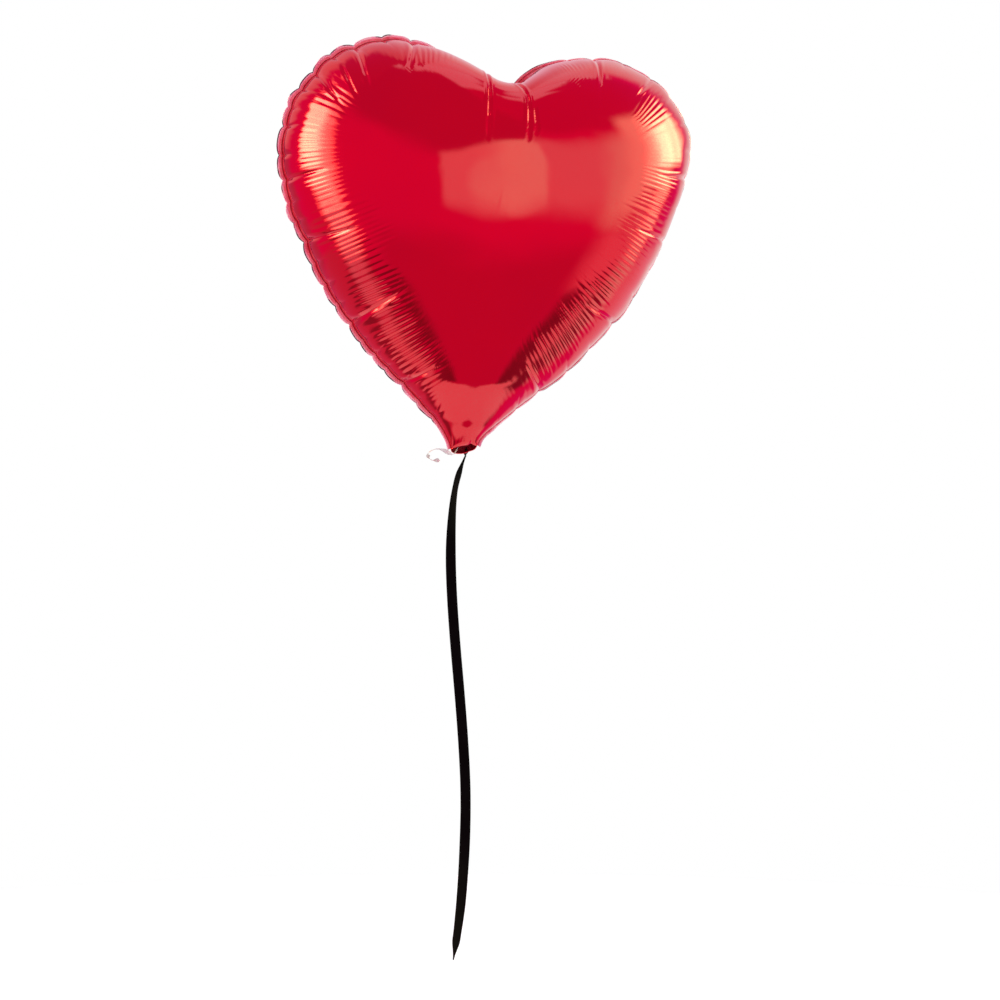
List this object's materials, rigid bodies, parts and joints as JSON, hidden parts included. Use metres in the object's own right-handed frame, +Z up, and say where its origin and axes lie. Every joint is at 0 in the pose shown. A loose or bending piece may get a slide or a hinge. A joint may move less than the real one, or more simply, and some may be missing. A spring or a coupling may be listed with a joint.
{
  "type": "foil balloon",
  "caption": "Heart-shaped metallic foil balloon, filled, with crimped heat-sealed edge, open flat tail with self-sealing valve, and a thin ribbon hanging from a knot behind the tail.",
  "frame": {"origin": "middle of the tail's open mouth, where the balloon is tied and held", "axes": "+Z up, -Y the front of the heart, +X the viewer's right; the heart leans 4.4 degrees towards +X about the Y axis"},
  "size_m": [0.3872, 0.18, 0.8403],
  "materials": {
    "foil": "mirror-like metallised red film",
    "seam": "heat-sealed double film, glossy and slightly translucent at its edge",
    "clear_film": "clear thin film",
    "ribbon": "black satin ribbon"
  },
  "bodies": {
    "envelope": {"front_foil": "foil", "back_foil": "foil", "edge_seam": "seam", "inflation_tail": "foil", "valve_front_film": "clear_film", "valve_back_film": "clear_film", "valve_tab": "clear_film", "ribbon_loop": "ribbon"},
    "knot": {"ribbon_knot": "ribbon"},
    "ribbon": {"ribbon": "ribbon"}
  },
  "joints": [
    {"name": "ribbon_fore_aft", "type": "hinge", "parent": "envelope", "child": "knot", "pos_m": [0.0029, 0.0076, -0.0022], "axis": [1, 0, 0], "range_deg": [-45, 75]},
    {"name": "ribbon_sideways", "type": "hinge", "parent": "knot", "child": "ribbon", "pos_m": [0.0029, 0.0076, -0.0022], "axis": [0, 1, 0], "range_deg": [-45, 34]}
  ]
}
